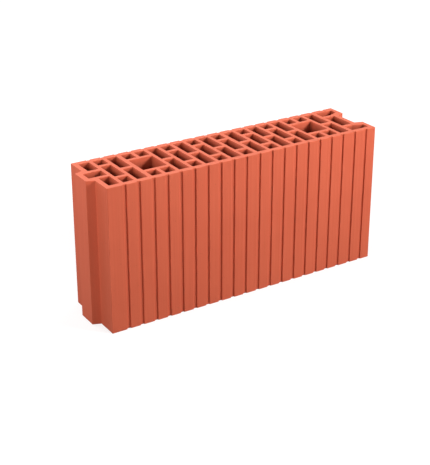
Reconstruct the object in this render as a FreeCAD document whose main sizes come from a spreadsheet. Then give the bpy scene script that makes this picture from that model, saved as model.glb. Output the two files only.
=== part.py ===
# Hollow clay partition block with a tongued and a grooved end. It is one piece of clay, pushed
# through a die as a long bar, cut to height by a wire and fired.
# Millimetres. Z runs up the cores, X from the tongued end to the grooved end, Y through the wall.
# The origin is under the middle of the whole block, with its tongue.

import FreeCAD, Part
import os
import Sketcher

BLOCK = "hollow_clay_block"

# The die's openings and walls, and the wire's cut.
SIZES = {
    "block_length": 500,        # laying length, from end face to end face
    "block_width": 120,         # thickness of the wall that the block makes
    "block_height": 238,        # between the two cut bed faces
    "corner_radius": 0.8,       # on the upright outer corners

    "tongue_depth": 13,         # how far the tongue stands out of its end face
    "tongue_root_width": 46,
    "tongue_tip_width": 35.5,
    "tongue_side_play": 3.75,   # room beside a tongue that sits in the groove
    "tongue_end_play": 1,       # room in front of it

    "face_shell": 10,           # outer wall along both long faces
    "tongue_end_shell": 8.5,    # outer wall at the tongued end
    "groove_end_shell": 7.5,    # outer wall at the grooved end
    "groove_floor_shell": 8,    # wall behind the groove's floor
    "groove_flank_shell": 12,   # wall beside the groove's flanks
    "tongue_shell": 9,          # wall at the tongue's tip

    "rib": 6.25,                # cross walls between the core columns
    "wide_rib": 7.5,            # the three thicker cross walls
    "long_web": 7,              # walls along the block beside the middle cores
    "centre_web": 7,            # wall along the block between two long cores
    "tongue_web": 7.5,          # walls beside the core that runs into the tongue

    "side_core_width": 20,      # cores next to the long faces, across the block
    "tongue_core_width": 20,    # core that runs into the tongue, across the block
    "end_cell_length": 41.25,   # from the last thick cross wall to the grooved end face

    "key_groove_mouth": 6.2,    # upright grooves in the long faces that hold the plaster
    "key_groove_floor": 5.6,
    "key_groove_depth": 2.2,
}

# Core columns are counted from the tongued end. A grip core takes the middle of two columns.
TONGUE_COLUMN = 0
THREE_CORE_COLUMNS = (1, 6, 8, 10, 12, 14)
TWO_CORE_COLUMNS = (2, 5, 7, 9, 11, 13, 15, 18)
GRIP_COLUMNS = ((3, 4), (16, 17))
GROOVE_COLUMN = 19
COLUMNS_BEFORE_WIDE_RIBS = (2, 10, 18)

doc = FreeCAD.newDocument("clay_block")
sheet = doc.addObject("Spreadsheet::Sheet", "sizes")
for row, (alias, size) in enumerate(SIZES.items(), start=1):
    sheet.set(f"A{row}", alias)
    sheet.set(f"B{row}", str(size))
    sheet.setAlias(f"B{row}", alias)
doc.recompute()

body = doc.addObject("PartDesign::Body", BLOCK)
body.Label = BLOCK
body.setExpression("Placement.Base.x", "sizes.tongue_depth / 2")
planes = {plane.Role: plane for plane in body.Origin.OriginFeatures}

# Places along and across the block, as expressions on the sheet.
END_FACE = "(sizes.block_length / 2)"
LONG_FACE = "(sizes.block_width / 2)"
CORE_EDGE = f"({LONG_FACE} - sizes.face_shell)"
SIDE_CORE_BACK = f"({CORE_EDGE} - sizes.side_core_width)"
MIDDLE_CORE_EDGE = f"({SIDE_CORE_BACK} - sizes.long_web)"
TONGUE_ROOT = "(sizes.tongue_root_width / 2)"
TONGUE_TIP = "(sizes.tongue_tip_width / 2)"
GROOVE_MOUTH = f"({TONGUE_ROOT} + sizes.tongue_side_play)"
GROOVE_FLOOR = f"({TONGUE_TIP} + sizes.tongue_side_play)"
GROOVE_DEPTH = "(sizes.tongue_depth + sizes.tongue_end_play)"

wide_rib_count = len(COLUMNS_BEFORE_WIDE_RIBS)
rib_count = GROOVE_COLUMN - wide_rib_count
CORE_LENGTH = (
    "((sizes.block_length - sizes.tongue_end_shell - sizes.end_cell_length"
    f" - {rib_count} * sizes.rib - {wide_rib_count} * sizes.wide_rib) / {GROOVE_COLUMN})"
)


def column_start(column):
    """X of the side of a core column that faces the tongued end."""
    wide_ribs = sum(column > last for last in COLUMNS_BEFORE_WIDE_RIBS)
    ribs = column - wide_ribs
    walls = f"{ribs} * sizes.rib + {wide_ribs} * sizes.wide_rib"
    return f"(sizes.tongue_end_shell - {END_FACE} + {column} * {CORE_LENGTH} + {walls})"


def column_end(column):
    """X of the side of a core column that faces the grooved end."""
    return f"({column_start(column)} + {CORE_LENGTH})"


def rectangle(left, right, low, high):
    return [(left, low), (right, low), (right, high), (left, high)]


def draw_loop(sketch, corners):
    """Closed loop of straight sides whose corners are held by their distances from the origin."""
    points = [FreeCAD.Vector(*map(sheet.evalExpression, corner), 0) for corner in corners]
    first = sketch.GeometryCount
    for start, end in zip(points, points[1:] + points[:1]):
        sketch.addGeometry(Part.LineSegment(start, end))
    for index, (point, corner) in enumerate(zip(points, corners)):
        side = first + index
        next_side = first + (index + 1) % len(points)
        sketch.addConstraint(Sketcher.Constraint("Coincident", side, 2, next_side, 1))
        for kind, distance, expression in zip(("DistanceX", "DistanceY"), point, corner):
            held = sketch.addConstraint(Sketcher.Constraint(kind, -1, 1, side, 1, distance))
            sketch.setExpression(f"Constraints[{held}]", expression)


def die_sketch(name, loops):
    """Sketch on the lower bed face, which is a plan of the die."""
    sketch = body.newObject("Sketcher::SketchObject", name)
    sketch.AttachmentSupport = (planes["XY_Plane"], [""])
    sketch.MapMode = "FlatFace"
    for corners in loops:
        draw_loop(sketch, corners)
    return sketch


def cut_through(name, loops):
    """Pocket that runs up through the whole height of the block."""
    pocket = body.newObject("PartDesign::Pocket", name)
    pocket.Profile = die_sketch(f"{name}_plan", loops)
    pocket.Type = "ThroughAll"
    pocket.Reversed = True
    doc.recompute()
    if pocket.Shape.Volume >= pocket.BaseFeature.Shape.Volume:
        raise RuntimeError(f"{name} cuts nothing")
    return pocket


# The bar of clay: tongue at the low X end, groove at the high X end.
outline = [
    (f"-{END_FACE}", f"-{LONG_FACE}"),
    (END_FACE, f"-{LONG_FACE}"),
    (END_FACE, f"-{GROOVE_MOUTH}"),
    (f"{END_FACE} - {GROOVE_DEPTH}", f"-{GROOVE_FLOOR}"),
    (f"{END_FACE} - {GROOVE_DEPTH}", GROOVE_FLOOR),
    (END_FACE, GROOVE_MOUTH),
    (END_FACE, LONG_FACE),
    (f"-{END_FACE}", LONG_FACE),
    (f"-{END_FACE}", TONGUE_ROOT),
    (f"-{END_FACE} - sizes.tongue_depth", TONGUE_TIP),
    (f"-{END_FACE} - sizes.tongue_depth", f"-{TONGUE_TIP}"),
    (f"-{END_FACE}", f"-{TONGUE_ROOT}"),
]
bar = body.newObject("PartDesign::Pad", "bar")
bar.Profile = die_sketch("bar_plan", [outline])
bar.setExpression("Length", "sizes.block_height")
doc.recompute()


def is_outer_corner(edge):
    """True for the upright edges where the long faces meet the end faces."""
    across = abs(edge.Vertexes[0].Y) - sheet.block_width / 2
    along = abs(edge.Vertexes[0].X) - sheet.block_length / 2
    upright = abs(edge.BoundBox.ZLength - sheet.block_height)
    return max(abs(across), abs(along), upright) < 0.001


corner_names = [
    f"Edge{number}" for number, edge in enumerate(bar.Shape.Edges, start=1) if is_outer_corner(edge)
]
corners = body.newObject("PartDesign::Fillet", "outer_corners")
corners.Base = (bar, corner_names)
corners.setExpression("Radius", "sizes.corner_radius")
doc.recompute()

# Cores on the block's centre line: the tongue's, the middle ones and the two that a hand grips.
tongue_core_edge = "(sizes.tongue_core_width / 2)"
tongue_core = rectangle(
    f"-{END_FACE} - sizes.tongue_depth + sizes.tongue_shell",
    column_end(TONGUE_COLUMN),
    f"-{tongue_core_edge}",
    tongue_core_edge,
)
middle_ends = [(column_start(column), column_end(column)) for column in THREE_CORE_COLUMNS]
middle_ends += [(column_start(near), column_end(far)) for near, far in GRIP_COLUMNS]
middle_ends += [
    (column_start(GROOVE_COLUMN), f"{END_FACE} - {GROOVE_DEPTH} - sizes.groove_floor_shell")
]
middle_cores = [
    rectangle(left, right, f"-{MIDDLE_CORE_EDGE}", MIDDLE_CORE_EDGE) for left, right in middle_ends
]
cut_through("centre_cores", [tongue_core] + middle_cores)

# Cores of the front half, which the back half repeats.
grip_column_numbers = [column for pair in GRIP_COLUMNS for column in pair]
side_cores = [
    rectangle(column_start(column), column_end(column), f"-{CORE_EDGE}", f"-{SIDE_CORE_BACK}")
    for column in (*THREE_CORE_COLUMNS, *grip_column_numbers)
]
long_cores = [
    rectangle(column_start(column), column_end(column), f"-{CORE_EDGE}", "-sizes.centre_web / 2")
    for column in TWO_CORE_COLUMNS
]
tongue_side_core = rectangle(
    column_start(TONGUE_COLUMN),
    column_end(TONGUE_COLUMN),
    f"-{CORE_EDGE}",
    f"-{tongue_core_edge} - sizes.tongue_web",
)

# The core beside the groove has one corner cut off, so that its wall to the groove's flank is even.
flank_rise = f"(({GROOVE_MOUTH} - {GROOVE_FLOOR}) / {GROOVE_DEPTH})"
flank_length = f"sqrt(1 + {flank_rise} ^ 2)"
slant_at_end_face = f"({GROOVE_MOUTH} + sizes.groove_flank_shell * {flank_length})"
end_core_end = f"({END_FACE} - sizes.groove_end_shell)"
groove_side_core = [
    (column_start(GROOVE_COLUMN), f"-{CORE_EDGE}"),
    (end_core_end, f"-{CORE_EDGE}"),
    (end_core_end, f"-{slant_at_end_face} + sizes.groove_end_shell * {flank_rise}"),
    (f"{END_FACE} - ({slant_at_end_face} - {SIDE_CORE_BACK}) / {flank_rise}", f"-{SIDE_CORE_BACK}"),
    (column_start(GROOVE_COLUMN), f"-{SIDE_CORE_BACK}"),
]
front_cores = cut_through(
    "front_cores", side_cores + long_cores + [tongue_side_core, groove_side_core]
)

# One plaster key groove stands in the face in front of each cross wall, and one beyond the last core.
key_mouth = "sizes.key_groove_mouth / 2"
key_floor = "sizes.key_groove_floor / 2"
key_back = f"sizes.key_groove_depth - {LONG_FACE}"
key_grooves = []
for column in range(TONGUE_COLUMN + 1, GROOVE_COLUMN + 2):
    middle = f"{column_start(column)} - sizes.rib / 2"
    key_grooves.append([
        (f"{middle} - {key_mouth}", f"-{LONG_FACE}"),
        (f"{middle} + {key_mouth}", f"-{LONG_FACE}"),
        (f"{middle} + {key_floor}", key_back),
        (f"{middle} - {key_floor}", key_back),
    ])
front_keys = cut_through("front_key_grooves", key_grooves)

back_half = body.newObject("PartDesign::Mirrored", "back_half")
back_half.Originals = [front_cores, front_keys]
back_half.MirrorPlane = (planes["XZ_Plane"], [""])
body.Tip = back_half
doc.recompute()

for item in doc.Objects:
    if {"Invalid", "Error"} & set(item.State):
        raise RuntimeError(f"{item.Name} failed: {item.State}")
if body.Shape.isNull() or not body.Shape.isValid() or len(body.Shape.Solids) != 1:
    raise RuntimeError("the block is not one valid solid")

os.makedirs("parts", exist_ok=True)
body.Shape.exportStep(f"parts/{body.Label}.step")
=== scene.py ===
from math import cos, pi, radians, sin

import bpy
import numpy as np
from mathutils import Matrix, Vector
from mathutils.geometry import delaunay_2d_cdt


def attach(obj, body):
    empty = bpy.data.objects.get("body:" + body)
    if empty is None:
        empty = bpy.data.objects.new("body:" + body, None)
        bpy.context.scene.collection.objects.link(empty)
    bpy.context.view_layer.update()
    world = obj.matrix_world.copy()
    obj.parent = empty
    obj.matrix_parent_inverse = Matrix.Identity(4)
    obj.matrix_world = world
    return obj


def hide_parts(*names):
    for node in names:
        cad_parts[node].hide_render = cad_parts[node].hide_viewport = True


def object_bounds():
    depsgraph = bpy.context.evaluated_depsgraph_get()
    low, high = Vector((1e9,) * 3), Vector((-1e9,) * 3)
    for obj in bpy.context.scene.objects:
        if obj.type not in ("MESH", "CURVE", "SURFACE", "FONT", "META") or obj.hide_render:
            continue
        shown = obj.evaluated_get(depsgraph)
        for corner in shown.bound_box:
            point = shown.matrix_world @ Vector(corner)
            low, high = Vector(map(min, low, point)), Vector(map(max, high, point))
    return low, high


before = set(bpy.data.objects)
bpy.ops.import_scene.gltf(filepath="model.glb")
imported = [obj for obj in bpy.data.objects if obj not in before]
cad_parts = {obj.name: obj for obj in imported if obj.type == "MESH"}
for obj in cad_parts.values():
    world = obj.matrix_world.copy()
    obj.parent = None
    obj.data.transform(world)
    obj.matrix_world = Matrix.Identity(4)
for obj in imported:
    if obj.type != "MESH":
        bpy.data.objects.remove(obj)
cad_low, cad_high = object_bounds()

MM = 0.001

# The block is one piece of red clay. A die pushed it out as a bar with its cores already in it,
# a wire cut the bar to height across the cores, and the kiln fired it hard and matt.
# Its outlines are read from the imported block, so every wall and core stands where the die put it.
block_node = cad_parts["hollow_clay_block"]
bed_low, bed_high = cad_low.z, cad_high.z
PLACE_DECIMALS = 6
BED_TOLERANCE = 0.01 * MM


def die_outlines(node, height):
    """Closed outlines of the upper bed face in plan, with the clay on their left.

    They are the sides that only one triangle of that face has, chained end to end.
    """
    mesh = node.data
    places = np.empty(len(mesh.vertices) * 3)
    mesh.vertices.foreach_get("co", places)
    places = np.round(places.reshape(-1, 3), PLACE_DECIMALS)
    corners, merged = np.unique(places, axis=0, return_inverse=True)
    triangles = np.empty(len(mesh.loops), int)
    mesh.loops.foreach_get("vertex_index", triangles)
    triangles = merged.ravel()[triangles].reshape(-1, 3)
    bed = triangles[(corners[triangles][:, :, 2] > height - BED_TOLERANCE).all(axis=1)]
    sides = np.concatenate([bed[:, [0, 1]], bed[:, [1, 2]], bed[:, [2, 0]]])
    forward = sides[:, 0] * len(corners) + sides[:, 1]
    backward = sides[:, 1] * len(corners) + sides[:, 0]
    following = dict(sides[~np.isin(forward, backward)].tolist())
    outlines = []
    while following:
        start, here = following.popitem()
        chain = [start]
        while here != start:
            chain.append(here)
            here = following.pop(here)
        outlines.append(corners[chain, :2])
    return sorted(outlines, key=lambda outline: -np.ptp(outline[:, 0]))


CORNER_RADIUS = 0.8 * MM
CORNER_STEPS = 3
ARC_SHARE = 0.45
STRAIGHT_ON = 1e-6


def eased(outline):
    """Outline with each corner turned into an arc, and the direction out of the clay at each point.

    An arc of radius r about c is c + r n(t), where n turns from one side's normal to the next's. It takes
    no more than its share of the shorter side.
    """
    side = np.roll(outline, -1, axis=0) - outline
    length = np.hypot(*side.T)
    along = side / length[:, None]
    before = np.roll(along, 1, axis=0)
    turn = np.arctan2(
        before[:, 0] * along[:, 1] - before[:, 1] * along[:, 0],
        (before * along).sum(axis=1),
    )
    half_turn = np.maximum(np.tan(np.abs(turn) / 2), STRAIGHT_ON)
    room = ARC_SHARE * np.minimum(length, np.roll(length, 1))
    reach = np.minimum(CORNER_RADIUS * half_turn, room)
    radius = np.sign(turn) * reach / half_turn
    angle = turn[:, None] * np.linspace(0, 1, CORNER_STEPS + 1)
    first_x, first_y = before[:, 1, None], -before[:, 0, None]
    normal = np.stack([
        first_x * np.cos(angle) - first_y * np.sin(angle),
        first_x * np.sin(angle) + first_y * np.cos(angle),
    ], axis=-1)
    start = outline - before * reach[:, None]
    place = start[:, None] + radius[:, None, None] * (normal - normal[:, :1])
    return place.reshape(-1, 2), normal.reshape(-1, 2)


def divided(place, normal, spacing):
    """The same outline with points at most one spacing apart, and the length travelled to each."""
    side = np.roll(place, -1, axis=0) - place
    length = np.hypot(*side.T)
    parts = np.maximum(np.ceil(length / spacing).astype(int), 1)
    start = np.repeat(np.arange(len(place)), parts)
    share = (np.arange(len(start)) - np.repeat(np.cumsum(parts) - parts, parts)) / parts[start]
    travelled = (np.cumsum(length) - length)[start] + share * length[start]
    leaning = normal[start] + share[:, None] * (np.roll(normal, -1, axis=0) - normal)[start]
    leaning /= np.hypot(*leaning.T)[:, None]
    return place[start] + share[:, None] * side[start], leaning, travelled


FEWEST_KNOTS = 4


def wandering(travelled, knot_spacing, rng):
    """Random height from 0 to 1 along a closed outline, eased from each of its knots to the next."""
    around = travelled[-1] * (1 + 1 / len(travelled))
    knots = max(int(around / knot_spacing), FEWEST_KNOTS)
    heights = rng.random(knots)
    position = travelled / around * knots
    knot = position.astype(int) % knots
    share = position % 1
    ease = share * share * (3 - 2 * share)
    return heights[knot] * (1 - ease) + heights[(knot + 1) % knots] * ease


ARRIS_RADIUS = 0.5 * MM
ARRIS_STEPS = 3
ARRIS_LEAST = 0.65
ARRIS_WANDER = 9 * MM
DRAG_DEPTH = 0.10 * MM
DRAG_WIDTH = 2.4 * MM
DRAG_SHARPNESS = 3
SWAY_DEPTH = 0.12 * MM
SWAY_WIDTH = 40 * MM


def drawn_wall(outline, spacing, levels, rng):
    """Wall of one outline carried up the block, as a grid of heights by outline points.

    Near each bed face the wall follows a quarter circle into the clay, the arris: at angle a it lies
    r (1 - sin a) inside the outline and r (1 - cos a) from the bed. The die's drag lines run up the
    wall and change slowly from one set of lines to another.
    """
    place, normal, travelled = divided(*eased(outline), spacing)
    worn = ARRIS_LEAST + (1 - ARRIS_LEAST) * wandering(travelled, ARRIS_WANDER, rng)
    radius = ARRIS_RADIUS * worn
    angle = np.linspace(0, pi / 2, ARRIS_STEPS + 1)[:, None]
    inset = radius * (1 - np.sin(angle))
    rise = radius * (1 - np.cos(angle))
    middle = 0.5 - 0.5 * np.cos(np.linspace(0, pi, levels + 2)[1:-1, None])
    straight = bed_low + radius + middle * (bed_high - bed_low - 2 * radius)
    height = np.concatenate([bed_low + rise, straight, bed_high - rise[::-1]])
    inset = np.concatenate([inset, np.zeros_like(straight), inset[::-1]])
    lower_drag = wandering(travelled, DRAG_WIDTH, rng) ** DRAG_SHARPNESS
    upper_drag = wandering(travelled, DRAG_WIDTH, rng) ** DRAG_SHARPNESS
    sway = wandering(travelled, SWAY_WIDTH, rng)
    share = (height - bed_low) / (bed_high - bed_low)
    drag = DRAG_DEPTH * (lower_drag * (1 - share) + upper_drag * share) + SWAY_DEPTH * sway
    plan = place - (inset + drag)[..., None] * normal
    return np.concatenate([plan, height[..., None]], axis=-1)


OUTER_SPACING, OUTER_LEVELS = 1.5 * MM, 12
CORE_SPACING, CORE_LEVELS = 5 * MM, 13
SEED = 11
rng = np.random.default_rng(SEED)
outlines = die_outlines(block_node, bed_high)
walls = [drawn_wall(outlines[0], OUTER_SPACING, OUTER_LEVELS, rng)]
walls += [drawn_wall(outline, CORE_SPACING, CORE_LEVELS, rng) for outline in outlines[1:]]
first_of = np.cumsum([0] + [wall.shape[0] * wall.shape[1] for wall in walls])


def wall_quads(wall, first):
    """Corners of the quads of a wall grid, which closes on itself round the outline."""
    index = first + np.arange(wall.shape[0] * wall.shape[1]).reshape(wall.shape[:2])
    onward = np.roll(index, -1, axis=1)
    return np.stack([index[:-1], onward[:-1], onward[1:], index[1:]], axis=-1).reshape(-1, 4)


def in_clay(points, rims):
    """True where a ray from the point towards +X crosses the rims an odd number of times."""
    crossings = np.zeros(len(points), int)
    for rim in rims:
        (x0, y0), (x1, y1) = rim.T, np.roll(rim, -1, axis=0).T
        spans = (y0 > points[:, 1, None]) != (y1 > points[:, 1, None])
        rise = np.where(y1 == y0, 1, y1 - y0)
        meets = x0 + (points[:, 1, None] - y0) / rise * (x1 - x0)
        crossings += (spans & (meets > points[:, 0, None])).sum(axis=1)
    return crossings % 2 == 1


BED_SPACING = 3.5 * MM
BED_JITTER = BED_SPACING / 2
RIM_GAP = BED_SPACING / 3
BED_RELIEF = 0.15 * MM
INSIDE_ONLY = 1
WELD_WITHIN = 1e-7


def cut_bed(row, first_new, rng):
    """Net of triangles over a cut bed face: the rims of all the walls, with a grid of points between.

    Returns the triangles, anticlockwise in plan, and the new points, which the wire left a little low.
    """
    rims = [wall[row, :, :2] for wall in walls]
    rim_index = np.concatenate([
        first + (row % wall.shape[0]) * wall.shape[1] + np.arange(wall.shape[1])
        for first, wall in zip(first_of, walls)
    ])
    points_in = [np.arange(len(rim)) for rim in rims]
    starts = np.cumsum([0] + [len(rim) for rim in rims])
    sides = np.concatenate([
        start + np.column_stack([here, np.roll(here, -1)]) for start, here in zip(starts, points_in)
    ])
    steps = [np.arange(low + BED_SPACING / 2, high, BED_SPACING)
             for low, high in zip(cad_low[:2], cad_high[:2])]
    grid = np.stack(np.meshgrid(*steps), axis=-1).reshape(-1, 2)
    grid += (rng.random(grid.shape) - 0.5) * BED_JITTER
    grid = grid[in_clay(grid, rims)]
    gap = np.min([np.hypot(*(grid[:, None] - rim).T).min(axis=0) for rim in rims], axis=0)
    grid = grid[gap > RIM_GAP]
    plan = np.concatenate(rims + [grid])
    net = delaunay_2d_cdt(plan.tolist(), sides.tolist(), [], INSIDE_ONLY, WELD_WITHIN)
    number = np.array([origin[0] for origin in net[3]])
    triangles = number[np.array(net[2])]
    triangles = triangles[in_clay(plan[triangles].mean(axis=1), rims)]
    index = np.concatenate([rim_index, first_new + np.arange(len(grid))])
    return index[triangles], grid, BED_RELIEF * rng.random(len(grid))


points = [wall.reshape(-1, 3) for wall in walls]
upper_net, upper_grid, upper_dip = cut_bed(-1, first_of[-1], rng)
lower_net, lower_grid, lower_dip = cut_bed(0, first_of[-1] + len(upper_grid), rng)
points.append(np.column_stack([upper_grid, bed_high - upper_dip]))
points.append(np.column_stack([lower_grid, bed_low + lower_dip]))
quads = np.concatenate([wall_quads(wall, first) for wall, first in zip(walls, first_of)])
faces = quads.tolist() + upper_net.tolist() + lower_net[:, ::-1].tolist()

block_mesh = bpy.data.meshes.new("clay_block")
block_mesh.from_pydata(np.concatenate(points), [], faces)
block_mesh.shade_smooth()


def mark(name, values):
    """Gives every point of the mesh a value from 0 to 1, which the clay's material reads by its name."""
    marks = block_mesh.attributes.new(name, "FLOAT", "POINT")
    marks.data.foreach_set("value", values.astype(np.float32))


# Painted shade: the clay inside each core is darkened with depth, sooner in narrow cores, and more beside its
# upright corners.
PAINTED_SHADE_REACH = 0.34
CORNER_PAINTED_SHADE = 0.75
CORNER_REACH = 5 * MM


def painted_shade_in_core(wall, outline):
    """How much shade is painted on the clay down a core, from 0 at its rim to 1.

    At depth d it is 1 - exp(-d / r), with r a share of the core's narrow side. At a gap g from an upright
    corner, a share k exp(-(g / c)^2) of what is left is added, and less of it close to the rim.
    """
    depth = np.minimum(wall[..., 2] - bed_low, bed_high - wall[..., 2])
    down = 1 - np.exp(-depth / (PAINTED_SHADE_REACH * np.ptp(outline, axis=0).min()))
    gap = np.min([np.hypot(*np.moveaxis(wall[..., :2] - corner, -1, 0)) for corner in outline], axis=0)
    beside = CORNER_PAINTED_SHADE * np.exp(-(gap / CORNER_REACH) ** 2) * np.clip(depth / CORNER_REACH, 0, 1)
    return down + (1 - down) * beside


arris_share = np.linspace(1, 0, ARRIS_STEPS + 1)[:, None]
wire_cut = []
for wall in walls:
    cut = np.zeros(wall.shape[:2])
    cut[:ARRIS_STEPS + 1] = arris_share
    cut[-ARRIS_STEPS - 1:] = arris_share[::-1]
    wire_cut.append(cut.ravel())
# The mark of painted shade down the cores; the outer wall gets none.
painted_core_shade = [np.zeros(walls[0].shape[:2]).ravel()]
painted_core_shade += [painted_shade_in_core(wall, outline).ravel() for wall, outline in zip(walls[1:], outlines[1:])]
beds = np.ones(len(upper_grid) + len(lower_grid))
mark("wire_cut", np.concatenate(wire_cut + [beds]))
mark("painted_core_shade", np.concatenate(painted_core_shade + [0 * beds]))

block = bpy.data.objects.new("clay_block", block_mesh)
bpy.context.collection.objects.link(block)
flat_walls = block.modifiers.new("flat_walls", "WEIGHTED_NORMAL")
flat_walls.mode = "FACE_AREA"
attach(block, "root")
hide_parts("hollow_clay_block")

# Fired clay is brick red in soft clouds, with fine streaks up the walls where the die drew it, and scratches
# across the beds where the wire pulled grit along. The cut beds are paler with dust and a painted sheen, the
# cores are darkened with painted shade, and a few specks of iron burnt dark.
DEEP_RED = (0.578, 0.094, 0.039)
PALE_RED = (0.658, 0.122, 0.054)
# Dark red of the painted shade inside the cores.
CORE_PAINTED_SHADE = (0.230, 0.031, 0.005)
# Pale tint of the cut beds: partly dust, partly a painted sheen.
CUT_DUST_AND_SHEEN = (0.830, 0.310, 0.200)
IRON = (0.160, 0.035, 0.018)
CLAY_IOR = 1.5
clay = bpy.data.materials.new("fired_clay")
clay.use_nodes = True
clay_tree = clay.node_tree
skin = clay_tree.nodes["Principled BSDF"]
skin.inputs["IOR"].default_value = CLAY_IOR
place = clay_tree.nodes.new("ShaderNodeTexCoord").outputs["Object"]


def grained(scale, stretch=(1, 1, 1), detail=2.0):
    """Noise of so many grains to the metre, drawn out along the axes whose stretch is small."""
    turned = clay_tree.nodes.new("ShaderNodeMapping")
    turned.inputs["Scale"].default_value = stretch
    noise = clay_tree.nodes.new("ShaderNodeTexNoise")
    noise.inputs["Scale"].default_value = scale
    noise.inputs["Detail"].default_value = detail
    clay_tree.links.new(place, turned.inputs["Vector"])
    clay_tree.links.new(turned.outputs["Vector"], noise.inputs["Vector"])
    return noise.outputs["Fac"]


def marked(name):
    """One of the marks that the mesh carries."""
    reader = clay_tree.nodes.new("ShaderNodeAttribute")
    reader.attribute_name = name
    return reader.outputs["Fac"]


def worked(tree, operation, *values):
    """Result of a sum on sockets and plain numbers."""
    step = tree.nodes.new("ShaderNodeMath")
    step.operation = operation
    for socket, value in zip(step.inputs, values):
        if isinstance(value, (int, float)):
            socket.default_value = value
        else:
            tree.links.new(value, socket)
    return step.outputs["Value"]


def blended(tree, share, first, second):
    """Colour between two others, which are sockets or plain colours."""
    mix = tree.nodes.new("ShaderNodeMix")
    mix.data_type = "RGBA"
    tree.links.new(share, mix.inputs["Factor"])
    for socket, colour in zip((mix.inputs[6], mix.inputs[7]), (first, second)):
        if isinstance(colour, tuple):
            socket.default_value = (*colour, 1)
        else:
            tree.links.new(colour, socket)
    return mix.outputs[2]


CLOUD_SCALE = 11.0
STREAKS = (420, 420, 4.5)
SCRATCHES = (700, 45, 45)
FINE_DETAIL = 3.0
GRIT_SCALE = 1500.0
on_bed = marked("wire_cut")
on_wall = worked(clay_tree, "SUBTRACT", 1.0, on_bed)
clouds = grained(CLOUD_SCALE, detail=FINE_DETAIL)
streaks = grained(1.0, STREAKS, FINE_DETAIL)
scratches = grained(1.0, SCRATCHES, FINE_DETAIL)
grit = grained(GRIT_SCALE)
drawn_walls = worked(clay_tree, "MULTIPLY", streaks, on_wall)
drawn = worked(clay_tree, "MULTIPLY_ADD", scratches, on_bed, drawn_walls)

CLOUD_SHARE = 0.5
SHADE_CONTRAST = 2.0
DUST_AND_SHEEN_SHARE = 0.15
drawn_tone = worked(clay_tree, "MULTIPLY", drawn, 1 - CLOUD_SHARE)
tone = worked(clay_tree, "MULTIPLY_ADD", clouds, CLOUD_SHARE, drawn_tone)
shade = worked(clay_tree, "MULTIPLY_ADD", worked(clay_tree, "SUBTRACT", tone, 0.5), SHADE_CONTRAST, 0.5)
red = blended(clay_tree, shade, DEEP_RED, PALE_RED)
# The beds are paled, partly by dust and partly by a painted sheen.
red = blended(clay_tree, worked(clay_tree, "MULTIPLY", on_bed, DUST_AND_SHEEN_SHARE), red, CUT_DUST_AND_SHEEN)
# Painted shade darkens the clay down the cores.
red = blended(clay_tree, marked("painted_core_shade"), red, CORE_PAINTED_SHADE)

SPECK_SCALE = 210.0
SPECK_SIZE = 0.16
SPECKLED_SCALE = 160.0
SPECKLED_FROM = 0.60
SPECK_SHARE = 0.25
specks = clay_tree.nodes.new("ShaderNodeTexVoronoi")
specks.inputs["Scale"].default_value = SPECK_SCALE
clay_tree.links.new(place, specks.inputs["Vector"])
speck = worked(clay_tree, "LESS_THAN", specks.outputs["Distance"], SPECK_SIZE)
speckled = worked(clay_tree, "GREATER_THAN", grained(SPECKLED_SCALE), SPECKLED_FROM)
burnt = worked(clay_tree, "MULTIPLY", speck, speckled)
red = blended(clay_tree, worked(clay_tree, "MULTIPLY", burnt, SPECK_SHARE), red, IRON)
clay_tree.links.new(red, skin.inputs["Base Color"])

LEAST_ROUGHNESS = 0.75
GRIT_ROUGHNESS = 0.10
GRIT_RELIEF = 0.6
RELIEF_STRENGTH = 0.35
RELIEF_HEIGHT = 0.25 * MM
roughness = worked(clay_tree, "MULTIPLY_ADD", grit, GRIT_ROUGHNESS, LEAST_ROUGHNESS)
clay_tree.links.new(roughness, skin.inputs["Roughness"])
relief = clay_tree.nodes.new("ShaderNodeBump")
relief.inputs["Strength"].default_value = RELIEF_STRENGTH
relief.inputs["Distance"].default_value = RELIEF_HEIGHT
rough_skin = worked(clay_tree, "MULTIPLY_ADD", grit, GRIT_RELIEF, drawn)
clay_tree.links.new(rough_skin, relief.inputs["Height"])
clay_tree.links.new(relief.outputs["Normal"], skin.inputs["Normal"])
block_mesh.materials.append(clay)

# The floor is a plain pale sheet under the block. The camera sees it white, with the block's soft shadow
# on it and dark where the block covers it, and it throws little light back, so the foot of the block
# stays a shade darker than its head.
FLOOR_HALF = 12.0
FLOOR_DROP = 0.2 * MM
PALE_GREY = (0.30, 0.30, 0.30)
DARK_GREY = (0.12, 0.12, 0.12)
GLOW_BY_BLOCK = 0.74
SHADOW_REACH = (0.25, 1.0)
UNDER_BLOCK = (0.240, 0.055, 1.0)
floor_mesh = bpy.data.meshes.new("floor")
floor_mesh.from_pydata(
    [(-FLOOR_HALF, -FLOOR_HALF, 0), (FLOOR_HALF, -FLOOR_HALF, 0),
     (FLOOR_HALF, FLOOR_HALF, 0), (-FLOOR_HALF, FLOOR_HALF, 0)], [], [(0, 1, 2, 3)])
floor = bpy.data.objects.new("floor", floor_mesh)
floor.location.z = bed_low - FLOOR_DROP
bpy.context.collection.objects.link(floor)
sheet = bpy.data.materials.new("pale_sheet")
sheet.use_nodes = True
sheet_tree = sheet.node_tree


def seen_rays(tree):
    """1 for the rays by which the camera, a gloss or a glass sees a thing, and 0 for the light it gives."""
    path = tree.nodes.new("ShaderNodeLightPath")
    bare = worked(tree, "MAXIMUM", path.outputs["Is Camera Ray"], path.outputs["Is Glossy Ray"])
    return worked(tree, "MAXIMUM", bare, path.outputs["Is Transmission Ray"])


def between(tree, value, from_ends, to_ends):
    """Value carried from one range to another in proportion, and kept inside it."""
    carried = tree.nodes.new("ShaderNodeMapRange")
    carried.inputs["From Min"].default_value, carried.inputs["From Max"].default_value = from_ends
    carried.inputs["To Min"].default_value, carried.inputs["To Max"].default_value = to_ends
    tree.links.new(value, carried.inputs["Value"])
    return carried.outputs["Result"]


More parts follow.
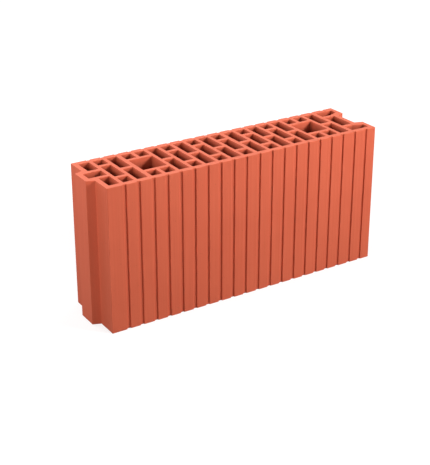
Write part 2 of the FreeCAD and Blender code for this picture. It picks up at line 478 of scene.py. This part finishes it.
def beyond(tree, half_sizes):
    """Distance of a place p from a box of half sizes h about its middle: the length of max(|p| - h, 0)."""
    reached = tree.nodes.new("ShaderNodeTexCoord").outputs["Object"]
    for operation, other in (("ABSOLUTE", (0, 0, 0)), ("SUBTRACT", half_sizes), ("MAXIMUM", (0, 0, 0))):
        step = tree.nodes.new("ShaderNodeVectorMath")
        step.operation = operation
        step.inputs[1].default_value = other
        tree.links.new(reached, step.inputs[0])
        reached = step.outputs["Vector"]
    distance = tree.nodes.new("ShaderNodeVectorMath")
    distance.operation = "LENGTH"
    tree.links.new(reached, distance.inputs[0])
    return distance.outputs["Value"]


matt = sheet_tree.nodes["Principled BSDF"]
matt.inputs["Roughness"].default_value = 1.0
matt.inputs["Specular IOR Level"].default_value = 0.0
matt.inputs["Emission Color"].default_value = (1, 1, 1, 1)
seen = seen_rays(sheet_tree)
grey = blended(sheet_tree, seen, DARK_GREY, PALE_GREY)
sheet_tree.links.new(grey, matt.inputs["Base Color"])
from_block = beyond(sheet_tree, UNDER_BLOCK)
whiter = between(sheet_tree, from_block, SHADOW_REACH, (GLOW_BY_BLOCK, 1.0))
uncovered = worked(sheet_tree, "GREATER_THAN", from_block, 0.0)
glow = worked(sheet_tree, "MULTIPLY", worked(sheet_tree, "MULTIPLY", seen, whiter), uncovered)
sheet_tree.links.new(glow, matt.inputs["Emission Strength"])
floor_mesh.materials.append(sheet)

# Soft studio light: a white room that gives almost no light of its own, and six lamps. The one far right of
# the front is screened to a cone and turned up over the block, so the head of the front gets more of it than
# the foot. Two weaker ones stand nearer by, and the others light the tongued end, the back and the upper bed.
ROOM_LIGHT = 0.06
scene = bpy.context.scene
room = bpy.data.worlds.new("white_room")
scene.world = room
room.use_nodes = True
room_tree = room.node_tree
white = room_tree.nodes["Background"]
white.inputs["Color"].default_value = (1, 1, 1, 1)
level = between(room_tree, seen_rays(room_tree), (0.0, 1.0), (ROOM_LIGHT, 1.0))
room_tree.links.new(level, white.inputs["Strength"])

BLOCK_MIDDLE = (0, 0, 0.12)
OVER_BLOCK = (0.22, 0, 0.92)
SCREENED, OPEN = radians(75), radians(180)
# Place, the point it is turned to, spread, width and height, and watts.
LAMPS = {
    "far_right": ((1.41, -1.68, 1.33), OVER_BLOCK, SCREENED, (0.45, 0.45), 12.8),
    "near_right": ((0.60, -0.70, 0.70), BLOCK_MIDDLE, OPEN, (0.6, 0.3), 4.8),
    "near_left": ((-0.50, -1.20, 0.55), BLOCK_MIDDLE, OPEN, (0.8, 0.5), 2.5),
    "tongue_end": ((-0.90, -0.12, 0.60), BLOCK_MIDDLE, OPEN, (0.25, 0.25), 4.3),
    "behind": ((-0.60, 1.60, 0.60), BLOCK_MIDDLE, OPEN, (0.8, 0.5), 15.0),
    "above": ((0.0, 0.35, 0.80), BLOCK_MIDDLE, OPEN, (1.0, 0.3), 3.0),
}
for name, (where, aim, spread, (wide, high), watts) in LAMPS.items():
    lamp = bpy.data.lights.new(name, "AREA")
    lamp.shape = "RECTANGLE"
    lamp.size = wide
    lamp.size_y = high
    lamp.spread = spread
    lamp.energy = watts
    stand = bpy.data.objects.new(name, lamp)
    stand.location = where
    stand.rotation_euler = (Vector(aim) - stand.location).to_track_quat("-Z", "Y").to_euler()
    bpy.context.collection.objects.link(stand)

# The camera stands where the photograph was taken from, left of the front face and above the block.
# Its place, angles and lens were fitted to the block's corners, and it is shifted a little to frame them.
EYE = Vector((-894.2, -1369.7, 838.1)) * MM
AZIMUTH, ELEVATION = radians(-32.508), radians(22.275)
SENSOR = 36.0
LENS = 84.93
SHIFT = -0.10
away = Vector((sin(AZIMUTH) * cos(ELEVATION), -cos(AZIMUTH) * cos(ELEVATION), sin(ELEVATION)))
camera_data = bpy.data.cameras.new("camera")
camera_data.sensor_width = SENSOR
camera_data.lens = LENS
camera_data.shift_y = SHIFT
camera = bpy.data.objects.new("camera", camera_data)
camera.location = EYE
camera.rotation_euler = (-away).to_track_quat("-Z", "Y").to_euler()
bpy.context.collection.objects.link(camera)
scene.camera = camera
scene.view_settings.view_transform = "Standard"
